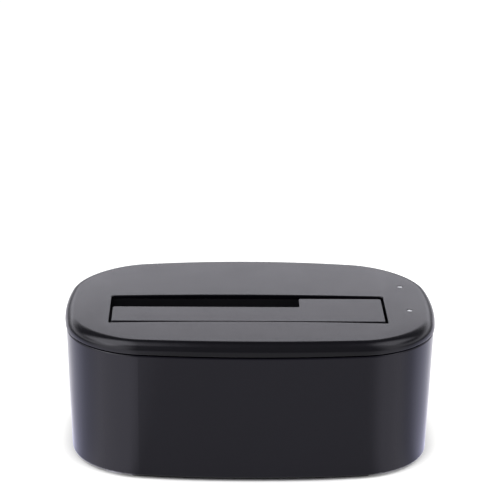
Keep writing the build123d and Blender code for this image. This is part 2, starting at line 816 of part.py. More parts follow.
# USB port: a folded shell round a plastic block with the tongue and its contacts
port_mouth_y = panel_y - port_sink
usb_shell_wall = 0.4
usb_cavity_width = 8.4
usb_cavity_height = 8.6
usb_cavity_floor = 1.0
usb_cavity_chamfer = 1.2
usb_crest_width = 5.4
usb_crest_height = 2.4
usb_cavity_depth = 8.8
usb_tongue_width = 5.2
usb_tongue_height = 2.8
usb_tongue_lift = 2.4
usb_tongue_sink = 2.2
usb_contact_width = 1.0
usb_contact_pitch = 2.4
usb_contact_thickness = 0.25
usb_crest_contact_width = 0.6
usb_crest_contact_pitch = 1.0
usb_crest_contact_count = 5
usb_left = usb_x - usb_width / 2
usb_base = board_top
usb_back = port_mouth_y - usb_depth

with BuildPart() as usb_port_shell:
    with BuildSketch(Plane.XZ.offset(-port_mouth_y)):
        span(usb_left, usb_base, usb_left + usb_width, usb_base + usb_height)
    extrude(amount=usb_depth)
    fillet(usb_port_shell.edges().filter_by(Axis.Y), usb_shell_wall)
    with BuildSketch(Plane.XZ.offset(-port_mouth_y)):
        span(
            usb_left + usb_shell_wall,
            usb_base + usb_shell_wall,
            usb_left + usb_width - usb_shell_wall,
            usb_base + usb_height - usb_shell_wall,
        )
    extrude(amount=usb_depth - usb_shell_wall, mode=Mode.SUBTRACT)
save(usb_port_shell.part, "usb_port_shell")

with BuildPart() as usb_port_insert:
    block_gap = usb_shell_wall + press_gap
    block_back = usb_back + usb_shell_wall
    cavity_base = usb_base + usb_shell_wall + usb_cavity_floor
    cavity_top = cavity_base + usb_cavity_height
    shoulder = cavity_top - usb_crest_height
    cavity_half = usb_cavity_width / 2
    crest_half = usb_crest_width / 2
    with BuildSketch(Plane.XZ.offset(usb_shell_wall - port_mouth_y)):
        span(
            usb_left + block_gap,
            usb_base + block_gap,
            usb_left + usb_width - block_gap,
            usb_base + usb_height - block_gap,
        )
    extrude(amount=port_mouth_y - usb_shell_wall - block_back)
    # Cavity with chamfered shoulders and the narrower crest above them
    with BuildSketch(Plane.XZ.offset(usb_shell_wall - port_mouth_y)):
        with BuildLine():
            Polyline(
                (usb_x - cavity_half, cavity_base),
                (usb_x + cavity_half, cavity_base),
                (usb_x + cavity_half, shoulder - usb_cavity_chamfer),
                (usb_x + cavity_half - usb_cavity_chamfer, shoulder),
                (usb_x + crest_half, shoulder),
                (usb_x + crest_half, cavity_top),
                (usb_x - crest_half, cavity_top),
                (usb_x - crest_half, shoulder),
                (usb_x - cavity_half + usb_cavity_chamfer, shoulder),
                (usb_x - cavity_half, shoulder - usb_cavity_chamfer),
                close=True,
            )
        make_face()
    extrude(amount=usb_cavity_depth, mode=Mode.SUBTRACT)
    tongue_back = port_mouth_y - usb_shell_wall - usb_cavity_depth
    tongue_base = cavity_base + usb_tongue_lift
    with BuildSketch(Plane.XZ.offset(-tongue_back)):
        with Locations((usb_x, tongue_base + usb_tongue_height / 2)):
            Rectangle(usb_tongue_width, usb_tongue_height)
    extrude(amount=usb_tongue_sink - usb_cavity_depth)
save(usb_port_insert.part, "usb_port_insert")

with BuildPart() as usb_contacts:
    contact_length = usb_cavity_depth - usb_tongue_sink - usb_shell_wall
    with BuildSketch(Plane.XZ.offset(-tongue_back)):
        for contact_z in (
            tongue_base - usb_contact_thickness / 2 - press_gap,
            tongue_base + usb_tongue_height + usb_contact_thickness / 2 + press_gap,
        ):
            with Locations((usb_x, contact_z)):
                with GridLocations(usb_contact_pitch, usb_contact_pitch, 2, 1):
                    Rectangle(usb_contact_width, usb_contact_thickness)
        # The finer row on the roof of the crest
        with Locations((usb_x, cavity_top - usb_contact_thickness / 2 - press_gap)):
            with GridLocations(usb_crest_contact_pitch, usb_contact_pitch, usb_crest_contact_count, 1):
                Rectangle(usb_crest_contact_width, usb_contact_thickness)
    extrude(amount=-contact_length)
save(usb_contacts.part, "usb_contacts")

# Power jack with a round collar, a bore and its centre pin
jack_collar_length = 1.9
jack_bore_radius = 3.1
jack_bore_depth = 9.5
jack_edge = 0.5
jack_pin_radius = 1.0
jack_pin_sink = 1.2
jack_left = jack_x - jack_width / 2
jack_face = panel_inner - seat_gap
jack_mouth = jack_face + jack_collar_length

with BuildPart() as dc_jack:
    with BuildSketch(Plane.XZ.offset(-jack_face)):
        span(jack_left, board_top, jack_left + jack_width, board_top + jack_height)
    extrude(amount=jack_depth)
    chamfer(dc_jack.edges().filter_by(Axis.Y).group_by(Axis.Z)[-1], jack_edge)
    with BuildSketch(Plane.XZ.offset(-jack_face)):
        with Locations((jack_x, jack_z)):
            Circle(jack_collar_radius)
    extrude(amount=-jack_collar_length)
    with BuildSketch(Plane.XZ.offset(-jack_mouth)):
        with Locations((jack_x, jack_z)):
            Circle(jack_bore_radius)
    extrude(amount=jack_bore_depth, mode=Mode.SUBTRACT)
save(dc_jack.part, "dc_jack")

with BuildPart() as dc_jack_pin:
    pin_length = jack_bore_depth - jack_pin_sink
    with BuildSketch(Plane.XZ.offset(jack_bore_depth - jack_mouth)):
        with Locations((jack_x, jack_z)):
            Circle(jack_pin_radius)
    extrude(amount=-pin_length)
    fillet(dc_jack_pin.faces().sort_by(Axis.Y)[-1].edges(), jack_pin_radius / 2)
save(dc_jack_pin.part, "dc_jack_pin")

# Rocker switch: a body with a bezel, a rocker on two trunnions and three terminals
rocker_tilt = 7
rocker_half_width = 5.4
rocker_height = 7.0
rocker_rise = 0.75
rocker_reach = 3.3
rocker_cheek = 1.2
rocker_root_half_width = 3.2
rocker_root_depth = 2.4
rocker_side_gap = 0.4
rocker_pivot_depth = 4.4
trunnion_radius = 0.9
trunnion_length = 0.9
bezel_sink = 0.2
bezel_edge = 0.4
cavity_half_width = 6.15
cavity_depth = 8.0
switch_face = panel_y - bezel_sink
pivot_y = switch_face - rocker_pivot_depth
cavity_height = rocker_height + 2 * rocker_side_gap

with BuildPart() as switch_body:
    with BuildSketch(Plane.XZ.offset(-switch_face)):
        with Locations((switch_x, switch_z)):
            Rectangle(switch_width, switch_height)
    extrude(amount=switch_depth)
    chamfer(switch_body.faces().sort_by(Axis.Y)[-1].edges(), bezel_edge)
    with BuildSketch(Plane.XZ.offset(-switch_face)):
        with Locations((switch_x, switch_z)):
            Rectangle(2 * cavity_half_width, cavity_height)
    extrude(amount=cavity_depth, mode=Mode.SUBTRACT)
    with BuildSketch(Plane.XY.offset(switch_z - cavity_height / 2 - trunnion_length)):
        with Locations((switch_x, pivot_y)):
            Circle(trunnion_radius + running_gap)
    extrude(amount=cavity_height + 2 * trunnion_length, mode=Mode.SUBTRACT)
save(switch_body.part, "switch_body")

with BuildPart() as switch_rocker:
    tilted = Plane(
        (switch_x, pivot_y, switch_z - rocker_height / 2),
        x_dir=(cos(radians(rocker_tilt)), -sin(radians(rocker_tilt)), 0),
    )
    with BuildSketch(tilted):
        with BuildLine():
            Polyline(
                (0, rocker_reach),
                (rocker_half_width, rocker_reach + rocker_rise),
                (rocker_half_width, rocker_reach - rocker_cheek),
                (rocker_root_half_width, -rocker_root_depth),
                (-rocker_root_half_width, -rocker_root_depth),
                (-rocker_half_width, rocker_reach - rocker_cheek),
                (-rocker_half_width, rocker_reach + rocker_rise),
                close=True,
            )
        make_face()
    extrude(amount=rocker_height)
    trunnion_reach = rocker_side_gap + trunnion_length - running_gap
    with BuildSketch(tilted.offset(-trunnion_reach)):
        Circle(trunnion_radius)
    extrude(amount=rocker_height + 2 * trunnion_reach)
save(switch_rocker.part, "switch_rocker")

terminal_width = 2.0
terminal_thickness = 0.6
terminal_reach = 2.5
terminal_pitch = 4.7
terminal_lift = 3.0
terminal_count = 3
switch_back = switch_face - switch_depth

with BuildPart() as switch_terminals:
    bend_y = switch_back - terminal_reach
    top_z = board_top + terminal_lift
    with BuildSketch(Plane.YZ.offset(switch_x)) as bent:
        with BuildLine():
            Polyline(
                (switch_back, top_z),
                (bend_y, top_z),
                (bend_y, board_top),
                (bend_y + terminal_thickness, board_top),
                (bend_y + terminal_thickness, top_z - terminal_thickness),
                (switch_back, top_z - terminal_thickness),
                close=True,
            )
        make_face()
    for index in range(terminal_count):
        shift = (index - (terminal_count - 1) / 2) * terminal_pitch
        strip = Pos(shift - terminal_width / 2, 0, 0) * bent.sketch
        extrude(strip, amount=terminal_width)
save(switch_terminals.part, "switch_terminals")

# Parts on the board
chip_size = 9.0
chip_height = 1.2
chip_lift = 0.2
chip_edge = 0.25
lead_count = 9
lead_pitch = 0.8
lead_width = 0.35
lead_thickness = 0.2
lead_foot = 0.6
lead_shoulder = 0.5
chip_row_gap = 5.4
chip_row_y = well_rear + well_wall + rib_reach + chip_row_gap
bridge_x = 19.5
memory_x = 4.5
memory_width = 4.9
memory_depth = 3.9
memory_lead_count = 4
memory_lead_pitch = 1.1


def leads(side_distance, count, pitch):
    # Gull-wing leads that leave one side of a chip, in the chip's own YZ plane.
    reach = lead_shoulder + lead_foot
    middle_z = chip_lift + chip_height / 2
    half = lead_thickness / 2
    for index in range(count):
        shift = (index - (count - 1) / 2) * pitch - lead_width / 2
        with BuildSketch(Plane.YZ.offset(shift)) as wing:
            with BuildLine():
                Polyline(
                    (side_distance - lead_shoulder, middle_z - half),
                    (side_distance + lead_shoulder - half, middle_z - half),
                    (side_distance + lead_shoulder - half, 0),
                    (side_distance + reach, 0),
                    (side_distance + reach, lead_thickness),
                    (side_distance + lead_shoulder + half, lead_thickness),
                    (side_distance + lead_shoulder + half, middle_z + half),
                    (side_distance - lead_shoulder, middle_z + half),
                    close=True,
                )
            make_face()
        yield extrude(wing.sketch, amount=lead_width, mode=Mode.PRIVATE)


def chip(width, depth, sides, count, pitch):
    # A moulded chip body with its leads: sides are (turn, distance) pairs.
    with BuildPart() as body:
        with BuildSketch(Plane.XY.offset(chip_lift)):
            Rectangle(width, depth)
        extrude(amount=chip_height)
        chamfer(body.faces().sort_by(Axis.Z)[-1].edges(), chip_edge)
        for turn, distance in sides:
            for lead in leads(distance, count, pitch):
                add(lead.rotate(Axis.Z, turn))
    return body.part


half_chip = chip_size / 2
chip_sides = [(turn, half_chip) for turn in (0, 90, 180, 270)]
bridge_chip = chip(chip_size, chip_size, chip_sides, lead_count, lead_pitch)
save(Pos(bridge_x, chip_row_y, board_top) * bridge_chip, "bridge_chip")

memory_sides = [(turn, memory_depth / 2) for turn in (0, 180)]
memory_chip = chip(memory_width, memory_depth, memory_sides, memory_lead_count, memory_lead_pitch)
save(Pos(memory_x, chip_row_y, board_top) * memory_chip, "memory_chip")

# Two regulators in a row between the capacitors and the memory
regulator_gap = 11.5
regulator_pitch = 9.5
capacitor_inset = 19.0
capacitor_x = board_left + capacitor_inset
regulator_x = capacitor_x + regulator_gap

with BuildPart() as regulator_chips:
    for place_x in (regulator_x, regulator_x + regulator_pitch):
        add(Pos(place_x, chip_row_y, board_top) * memory_chip)
save(regulator_chips.part, "regulator_chips")

# Small ceramic capacitors in a row behind the bridge chip
ceramic_length = 1.6
ceramic_width = 0.8
ceramic_height = 0.8
ceramic_pitch = 2.6
ceramic_count = 6
ceramic_gap = 0.9
ceramic_y = chip_row_y + half_chip + lead_shoulder + lead_foot + ceramic_gap + ceramic_length / 2

with BuildPart() as ceramic_capacitors:
    with BuildSketch(Plane.XY.offset(board_top)):
        with Locations((bridge_x, ceramic_y)):
            with GridLocations(ceramic_pitch, ceramic_pitch, ceramic_count, 1):
                Rectangle(ceramic_width, ceramic_length)
    extrude(amount=ceramic_height)
save(ceramic_capacitors.part, "ceramic_capacitors")

inductor_size = 6.6
inductor_height = 4.2
inductor_corner = 1.4
inductor_cap = 0.9
inductor_neck = 0.7
inductor_x = 33.5
inductor_pitch = 10.0
inductor_places = [(inductor_x, chip_row_y), (inductor_x + inductor_pitch, chip_row_y)]

with BuildPart() as inductors:
    for low_z, high_z, draw_in in (
        (0, inductor_cap, 0),
        (inductor_cap, inductor_height - inductor_cap, inductor_neck),
        (inductor_height - inductor_cap, inductor_height, 0),
    ):
        with BuildSketch(Plane.XY.offset(board_top + low_z)):
            with Locations(*inductor_places):
                side = inductor_size - 2 * draw_in
                RectangleRounded(side, side, inductor_corner)
        extrude(amount=high_z - low_z)
save(inductors.part, "inductors")

capacitor_radius = 3.15
capacitor_height = 8.0
capacitor_groove = 0.35
capacitor_groove_height = 1.4
capacitor_groove_width = 0.8
capacitor_edge = 0.4
capacitor_pitch = 8.0
capacitor_places = [
    (capacitor_x, chip_row_y),
    (capacitor_x - capacitor_pitch, chip_row_y),
    (capacitor_x, chip_row_y + capacitor_pitch),
]

with BuildPart() as capacitors:
    for low_z, high_z, draw_in in (
        (0, capacitor_groove_height, 0),
        (capacitor_groove_height, capacitor_groove_height + capacitor_groove_width, capacitor_groove),
        (capacitor_groove_height + capacitor_groove_width, capacitor_height, 0),
    ):
        with BuildSketch(Plane.XY.offset(board_top + low_z)):
            with Locations(*capacitor_places):
                Circle(capacitor_radius - draw_in)
        extrude(amount=high_z - low_z)
    rims = capacitors.edges().filter_by(GeomType.CIRCLE).group_by(Axis.Z)[-1]
    chamfer(rims, capacitor_edge)
save(capacitors.part, "capacitors")

crystal_length = 11.0
crystal_width = 4.6
crystal_height = 3.5
crystal_rim = 0.4
crystal_rim_height = 0.6
crystal_x = -8.0
crystal_setback = 7.0
crystal_y = chip_row_y + crystal_setback

with BuildPart() as crystal:
    with BuildSketch(Plane.XY.offset(board_top)):
        with Locations((crystal_x, crystal_y)):
            SlotOverall(crystal_length, crystal_width)
    extrude(amount=crystal_rim_height)
    with BuildSketch(Plane.XY.offset(board_top + crystal_rim_height)):
        with Locations((crystal_x, crystal_y)):
            SlotOverall(crystal_length - 2 * crystal_rim, crystal_width - 2 * crystal_rim)
    extrude(amount=crystal_height - crystal_rim_height)
    chamfer(crystal.faces().sort_by(Axis.Z)[-1].edges(), crystal_rim)
save(crystal.part, "crystal")

# Status lights on the board, and the pipes that carry them up to the cover
led_length = 3.0
led_width = 2.2
led_height = 1.1
led_lens_radius = 0.9
led_lens_height = 0.4

with BuildPart() as status_leds:
    with BuildSketch(Plane.XY.offset(board_top)):
        with Locations(*light_places):
            Rectangle(led_length, led_width)
    extrude(amount=led_height)
    with BuildSketch(Plane.XY.offset(board_top + led_height)):
        with Locations(*light_places):
            Circle(led_lens_radius)
    extrude(amount=led_lens_height)
save(status_leds.part, "status_leds")


def light_pipe(place_x, place_y):
    # A rod in the cover's hole, with a flange that seats under the cover.
    low_z = board_top + led_height + led_lens_height + fit_gap
    high_z = crown_centre_z + sqrt(crown_radius**2 - place_x**2) - pipe_sink
    with BuildPart() as rod:
        with BuildSketch(Plane.XY.offset(low_z)):
            with Locations((place_x, place_y)):
                Circle(pipe_radius)
        extrude(amount=high_z - low_z)
        with BuildSketch(Plane.XY.offset(cover_under)):
            with Locations((place_x, place_y)):
                Circle(pipe_flange_radius)
        extrude(amount=-pipe_flange_height)
    return rod.part


save(light_pipe(rear_light_x, rear_light_y), "rear_light_pipe")
save(light_pipe(front_light_x, front_light_y), "front_light_pipe")


def screws(places, seat_z, up, head_radius, head_height, shank_radius, shank_length, recess):
    # Pan-head screws at some places: seat_z is the face under the heads, and up is 1
    # when the heads lie above it and the shanks point down.
    with BuildPart() as group:
        for place_x, place_y in places:
            seat = Plane((place_x, place_y, seat_z), z_dir=(0, 0, up))
            with BuildSketch(seat) as head:
                Circle(head_radius)
            extrude(head.sketch, amount=head_height)
            with BuildSketch(seat) as shank:
                Circle(shank_radius)
            extrude(shank.sketch, amount=-shank_length)
            with BuildSketch(seat.offset(head_height - recess)) as cross:
                Rectangle(2 * recess + head_radius, recess / 2)
                Rectangle(recess / 2, 2 * recess + head_radius)
            extrude(cross.sketch, amount=recess, mode=Mode.SUBTRACT)
    return group.part


base_screw_head_radius = 2.6
base_screw_head_height = 1.2
base_screw_radius = 1.07
base_screw_length = 9.0
screw_recess = 0.8
save(
    screws(
        post_places,
        ground_gap + base_head_depth,
        -1,
        base_screw_head_radius,
        base_screw_head_height,
        base_screw_radius,
        base_screw_length,
        screw_recess,
    ),
    "base_screws",
)

board_screw_head_radius = 2.1
board_screw_head_height = 1.3
board_screw_radius = 0.97
board_screw_length = 3.6
save(
    screws(
        standoff_places,
        board_top,
        1,
        board_screw_head_radius,
        board_screw_head_height,
        board_screw_radius,
        board_screw_length,
        screw_recess,
    ),
    "board_screws",
)

well_screw_length = 7.0
save(
    screws(
        ear_places,
        ear_top - ear_thickness,
        -1,
        board_screw_head_radius,
        board_screw_head_height,
        board_screw_radius,
        well_screw_length,
        screw_recess,
    ),
    "well_screws",
)
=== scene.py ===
import bpy
import json
import math
from mathutils import Matrix, Vector


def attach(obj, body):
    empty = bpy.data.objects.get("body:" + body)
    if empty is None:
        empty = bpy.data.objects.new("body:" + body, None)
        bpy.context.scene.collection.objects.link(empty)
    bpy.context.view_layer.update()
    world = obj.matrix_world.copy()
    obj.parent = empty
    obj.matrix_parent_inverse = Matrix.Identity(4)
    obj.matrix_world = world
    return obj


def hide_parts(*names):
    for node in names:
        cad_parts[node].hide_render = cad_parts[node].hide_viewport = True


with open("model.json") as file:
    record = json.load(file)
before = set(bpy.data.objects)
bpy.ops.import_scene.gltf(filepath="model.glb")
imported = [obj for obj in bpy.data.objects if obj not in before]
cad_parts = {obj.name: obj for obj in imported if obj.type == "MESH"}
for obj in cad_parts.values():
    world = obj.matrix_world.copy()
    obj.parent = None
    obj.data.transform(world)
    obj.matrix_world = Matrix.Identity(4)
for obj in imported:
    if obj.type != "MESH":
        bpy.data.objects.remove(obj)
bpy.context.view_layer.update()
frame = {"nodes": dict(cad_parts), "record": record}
nodes = frame["nodes"]
print("dock loaded:", len(nodes), "nodes")

# Camera, fitted to the slot's corners, the seam and the foot line
view = {
    "azimuth": -1.279,      # degrees, 0 looks along +Y
    "elevation": 19.12,
    "roll": 0.711,
    "distance": 0.7804,
    "target": (-0.000267, 0.0, 0.074975),
    "focalPixels": 2071.3,
    "frameWidth": 500,
    "sensor": 36.0,
    "clip": (0.01, 50.0),
}


def addCamera():
    azimuth = math.radians(view["azimuth"])
    elevation = math.radians(view["elevation"])
    roll = math.radians(view["roll"])
    back = Vector((
        math.sin(azimuth) * math.cos(elevation),
        -math.cos(azimuth) * math.cos(elevation),
        math.sin(elevation),
    ))
    side = Vector((math.cos(azimuth), math.sin(azimuth), 0.0))
    up = back.cross(side)
    right = side * math.cos(roll) + up * math.sin(roll)
    top = up * math.cos(roll) - side * math.sin(roll)
    data = bpy.data.cameras.new("dockCamera")
    data.sensor_width = view["sensor"]
    data.lens = view["focalPixels"] * view["sensor"] / view["frameWidth"]
    data.clip_start, data.clip_end = view["clip"]
    camera = bpy.data.objects.new("dockCamera", data)
    bpy.context.scene.collection.objects.link(camera)
    turn = Matrix((right, top, back)).transposed().to_4x4()
    camera.matrix_world = Matrix.Translation(Vector(view["target"]) + back * view["distance"]) @ turn
    bpy.context.scene.camera = camera


addCamera()
print("camera placed")


# Short ways to chain shader nodes. A value is a number or the output of another node
def combine(tree, kind, first, second):
    node = tree.nodes.new("ShaderNodeMath")
    node.operation = kind
    for socket, value in zip(node.inputs, (first, second)):
        if isinstance(value, (int, float)):
            socket.default_value = value
        else:
            tree.links.new(value, socket)
    return node.outputs[0]


def times(tree, first, *others):
    for other in others:
        first = combine(tree, "MULTIPLY", first, other)
    return first


def plus(tree, first, *others):
    for other in others:
        first = combine(tree, "ADD", first, other)
    return first


def easing(tree, value, start, end, low, high):
    ramp = tree.nodes.new("ShaderNodeMapRange")
    ramp.interpolation_type = "SMOOTHSTEP"
    ramp.inputs["From Min"].default_value = start
    ramp.inputs["From Max"].default_value = end
    ramp.inputs["To Min"].default_value = low
    ramp.inputs["To Max"].default_value = high
    tree.links.new(value, ramp.inputs["Value"])
    return ramp.outputs["Result"]


def plateau(tree, value, edges):
    # Grows from 0 to 1 between the first two edges and falls back between the last two
    rising = easing(tree, value, edges[0], edges[1], 0.0, 1.0)
    falling = easing(tree, value, edges[2], edges[3], 1.0, 0.0)
    return times(tree, rising, falling)


def turnBand(tree, turn, edges):
    return plateau(tree, turn, [math.radians(edge) for edge in edges])


# Sky: a dim room with a backdrop behind the dock. Heights in it are sines of the elevation
studio = {
    "backdrop": 2.35,
    "backdropTop": (0.27, 0.5),     # heights between which it dims
    "backdropFoot": (0.14, 0.28),   # and between which it grows from its level at the floor
    "footShare": 0.1,
    "backdropSide": (-0.45, 0.05),  # how far round to the camera's side it reaches
    "roomFront": 0.5,
    "roomBehind": 0.2,
    "roomTurn": (-0.2, 0.35),       # along Y, where the front of the room gives way to the back
    "tint": (0.955, 0.945, 1.03),
    "boxesFrom": (0.2, 0.45),       # heights between which the soft boxes come in
}

# Tall windows that only glossy surfaces see
windows = [
    # turn: degrees from the camera's side, left is positive. rise: the heights that it spans
    {"turn": (16, 38, 80, 104), "rise": (0.12, 0.42, 0.55, 0.8), "level": 2.7},
    {"turn": (16, 38, 62, 90), "rise": (-0.2, 0.0, 0.12, 0.42), "level": 2.7},
    {"turn": (-92, -70, -54, -34), "rise": (0.12, 0.42, 0.7, 0.95), "level": 1.8},
    {"turn": (-82, -58, -54, -34), "rise": (-0.2, 0.0, 0.12, 0.42), "level": 1.8},
]

# Soft boxes high up, for glossy surfaces too
softBoxes = [
    # what part of the sky they fill along X and Y, as seen from below
    {"across": (-0.9, -0.72, -0.32, -0.1), "along": (-0.6, -0.35, 0.2, 0.48), "level": 5.2},
    {"across": (0.24, 0.44, 0.66, 0.82), "along": (-0.4, -0.15, 0.2, 0.48), "level": 3.5},
]


def roomLevel(tree, split):
    dims = easing(tree, split.outputs["Z"], *studio["backdropTop"], 1.0, 0.0)
    foot = easing(tree, split.outputs["Z"], *studio["backdropFoot"], studio["footShare"], 1.0)
    behind = easing(tree, split.outputs["Y"], *studio["backdropSide"], 0.0, 1.0)
    backdrop = times(tree, dims, foot, behind, studio["backdrop"])
    levels = studio["roomFront"], studio["roomBehind"]
    room = easing(tree, split.outputs["Y"], *studio["roomTurn"], *levels)
    return plus(tree, room, backdrop)


def mirroredLights(tree, split):
    left = times(tree, split.outputs["X"], -1.0)
    front = times(tree, split.outputs["Y"], -1.0)
    turn = combine(tree, "ARCTAN2", left, front)
    shine = 0.0
    for window in windows:
        across = turnBand(tree, turn, window["turn"])
        upward = plateau(tree, split.outputs["Z"], window["rise"])
        shine = plus(tree, shine, times(tree, across, upward, window["level"]))
    above = easing(tree, split.outputs["Z"], *studio["boxesFrom"], 0.0, 1.0)
    for box in softBoxes:
        across = plateau(tree, split.outputs["X"], box["across"])
        along = plateau(tree, split.outputs["Y"], box["along"])
        shine = plus(tree, shine, times(tree, across, along, box["level"], above))
    return shine


def addSky():
    world = bpy.data.worlds.new("studioSky")
    world.use_nodes = True
    tree = world.node_tree
    tree.nodes.clear()
    coords = tree.nodes.new("ShaderNodeTexCoord")
    split = tree.nodes.new("ShaderNodeSeparateXYZ")
    path = tree.nodes.new("ShaderNodeLightPath")
    lit = tree.nodes.new("ShaderNodeBackground")
    seen = tree.nodes.new("ShaderNodeBackground")    # plain white, for the camera alone
    pick = tree.nodes.new("ShaderNodeMixShader")
    out = tree.nodes.new("ShaderNodeOutputWorld")
    tree.links.new(coords.outputs["Generated"], split.inputs[0])
    mirrored = times(tree, mirroredLights(tree, split), path.outputs["Is Glossy Ray"])
    level = plus(tree, roomLevel(tree, split), mirrored)
    tree.links.new(level, lit.inputs["Strength"])
    tree.links.new(path.outputs["Is Camera Ray"], pick.inputs[0])
    tree.links.new(lit.outputs[0], pick.inputs[1])
    tree.links.new(seen.outputs[0], pick.inputs[2])
    tree.links.new(pick.outputs[0], out.inputs["Surface"])
    lit.inputs["Color"].default_value = (*studio["tint"], 1.0)
    seen.inputs["Color"].default_value = (1.0, 1.0, 1.0, 1.0)
    bpy.context.scene.world = world


# Floor: white paper that is lifted for the camera, but not in a patch round the dock, which keeps the
# real shadow and paints a faint shadow there too
floor = {
    "size": 8.0,
    "albedo": 0.85,
    "lift": 0.16,           # what camera, glossy and see-through rays find added to it
    "cameraLift": 0.34,
    "shadowHalf": (0.0695, 0.0455),     # half sizes of the patch round the dock that gets no lift: painted shadow besides the real one
    "shadowFade": (0.75, 1.2),
    "shadowPower": 3.0,                 # 2 would make it an ellipse, more makes it squarer
    "mirrorCentre": (0.04, -0.028),     # left and right of the middle, what the glows turn round
    "white": (0.98, 0.95, 1.14),
    "blue": (0.12, 0.2, 1.0),
    "cameraWhite": (1.03, 1.05, 0.86),
}

# Painted reflections: glowing patches of the floor, white and blue, which only glossy rays see, so that
# the gloss body mirrors them
floorGlows = [
    # turn: degrees round the mirror centre from the camera's side
    {"side": "left", "turn": (4, 28, 66, 102), "level": 1.5, "colour": "white"},
    {"side": "right", "turn": (20, 46, 62, 92), "level": 0.9, "colour": "white"},
    {"side": "left", "turn": (78, 104, 140, 160), "level": 0.5, "colour": "white"},
    {"side": "right", "turn": (78, 104, 140, 160), "level": 0.5, "colour": "white"},
    {"side": "left", "turn": (62, 98, 106, 148), "level": 0.36, "colour": "blue"},
    {"side": "right", "turn": (62, 98, 106, 148), "level": 0.36, "colour": "blue"},
]


# Painted shadow: 0 in a rounded patch round the dock's footprint and 1 outside it, where the floor's
# lift comes in
def outsideShadow(tree, split):
    halfX, halfY = floor["shadowHalf"]
    wide = combine(tree, "DIVIDE", combine(tree, "ABSOLUTE", split.outputs["X"], 0.0), halfX)
    deep = combine(tree, "DIVIDE", combine(tree, "ABSOLUTE", split.outputs["Y"], 0.0), halfY)
    wide = combine(tree, "POWER", wide, floor["shadowPower"])
    deep = combine(tree, "POWER", deep, floor["shadowPower"])
    return easing(tree, plus(tree, wide, deep), *floor["shadowFade"], 0.0, 1.0)


def floorTurns(tree, split):
    centreX, centreY = floor["mirrorCentre"]
    ahead = combine(tree, "SUBTRACT", centreY, split.outputs["Y"])
    leftward = combine(tree, "SUBTRACT", -centreX, split.outputs["X"])
    rightward = combine(tree, "SUBTRACT", split.outputs["X"], centreX)
    return {
        "left": combine(tree, "ARCTAN2", leftward, ahead),
        "right": combine(tree, "ARCTAN2", rightward, ahead),
    }


def glowNode(tree, colour, strength):
    glow = tree.nodes.new("ShaderNodeEmission")
    glow.inputs["Color"].default_value = (*colour, 1.0)
    tree.links.new(strength, glow.inputs["Strength"])
    return glow


def floorMaterial():
    material = bpy.data.materials.new("floorPaper")
    material.use_nodes = True
    tree = material.node_tree
    tree.nodes.clear()
    coords = tree.nodes.new("ShaderNodeTexCoord")
    split = tree.nodes.new("ShaderNodeSeparateXYZ")
    path = tree.nodes.new("ShaderNodeLightPath")
    diffuse = tree.nodes.new("ShaderNodeBsdfDiffuse")
    out = tree.nodes.new("ShaderNodeOutputMaterial")
    tree.links.new(coords.outputs["Object"], split.inputs[0])
    camera, glossy = path.outputs["Is Camera Ray"], path.outputs["Is Glossy Ray"]
    clear = outsideShadow(tree, split)
    seen = combine(tree, "MAXIMUM", camera, glossy)
    seen = combine(tree, "MAXIMUM", seen, path.outputs["Is Transmission Ray"])
    levels = {"white": times(tree, seen, floor["lift"], clear), "blue": 0.0}
    turns = floorTurns(tree, split)
    # painted reflections on the floor, for glossy rays only
    for glow in floorGlows:
        band = turnBand(tree, turns[glow["side"]], glow["turn"])
        part = times(tree, band, glow["level"], glossy)
        levels[glow["colour"]] = plus(tree, levels[glow["colour"]], part)
    shade = floor["albedo"]
    diffuse.inputs["Color"].default_value = (shade, shade, shade, 1.0)
    surface = diffuse
    for glow in (
        glowNode(tree, floor["white"], levels["white"]),
        glowNode(tree, floor["blue"], levels["blue"]),
        glowNode(tree, floor["cameraWhite"], times(tree, camera, floor["cameraLift"], clear)),
    ):
        total = tree.nodes.new("ShaderNodeAddShader")
        tree.links.new(surface.outputs[0], total.inputs[0])
        tree.links.new(glow.outputs[0], total.inputs[1])
        surface = total
    tree.links.new(surface.outputs[0], out.inputs["Surface"])
    return material


def addFloor():
    half = floor["size"] / 2
    corners = [(-half, -half, 0.0), (half, -half, 0.0), (half, half, 0.0), (-half, half, 0.0)]
    mesh = bpy.data.meshes.new("studioFloor")
    mesh.from_pydata(corners, [], [(0, 1, 2, 3)])
    mesh.materials.append(floorMaterial())
    sheet = bpy.data.objects.new("studioFloor", mesh)
    bpy.context.scene.collection.objects.link(sheet)


# Lamps, which light the dock but don't show: the sky's soft boxes stand for them in reflections
lamps = [
    {"name": "leftBox", "at": (-0.5, -0.35, 0.73), "size": (0.9, 0.5), "power": 4.4},
    {"name": "rightBox", "at": (0.55, -0.26, 0.73), "size": (0.6, 0.5), "power": 3.6},
]
aim = (0.0, 0.0, 0.03)


def addLamp(lamp):
    data = bpy.data.lights.new(lamp["name"], "AREA")
    data.shape = "RECTANGLE"
    data.size, data.size_y = lamp["size"]
    data.energy = lamp["power"]
    light = bpy.data.objects.new(lamp["name"], data)
    bpy.context.scene.collection.objects.link(light)
    light.location = lamp["at"]
    away = Vector(lamp["at"]) - Vector(aim)
    light.rotation_euler = away.to_track_quat("Z", "Y").to_euler()
    light.visible_camera = False
    light.visible_glossy = False


addSky()
addFloor()
for lamp in lamps:
    addLamp(lamp)
bpy.context.scene.view_settings.view_transform = "Standard"
print("studio lit:", len(lamps), "lamps")

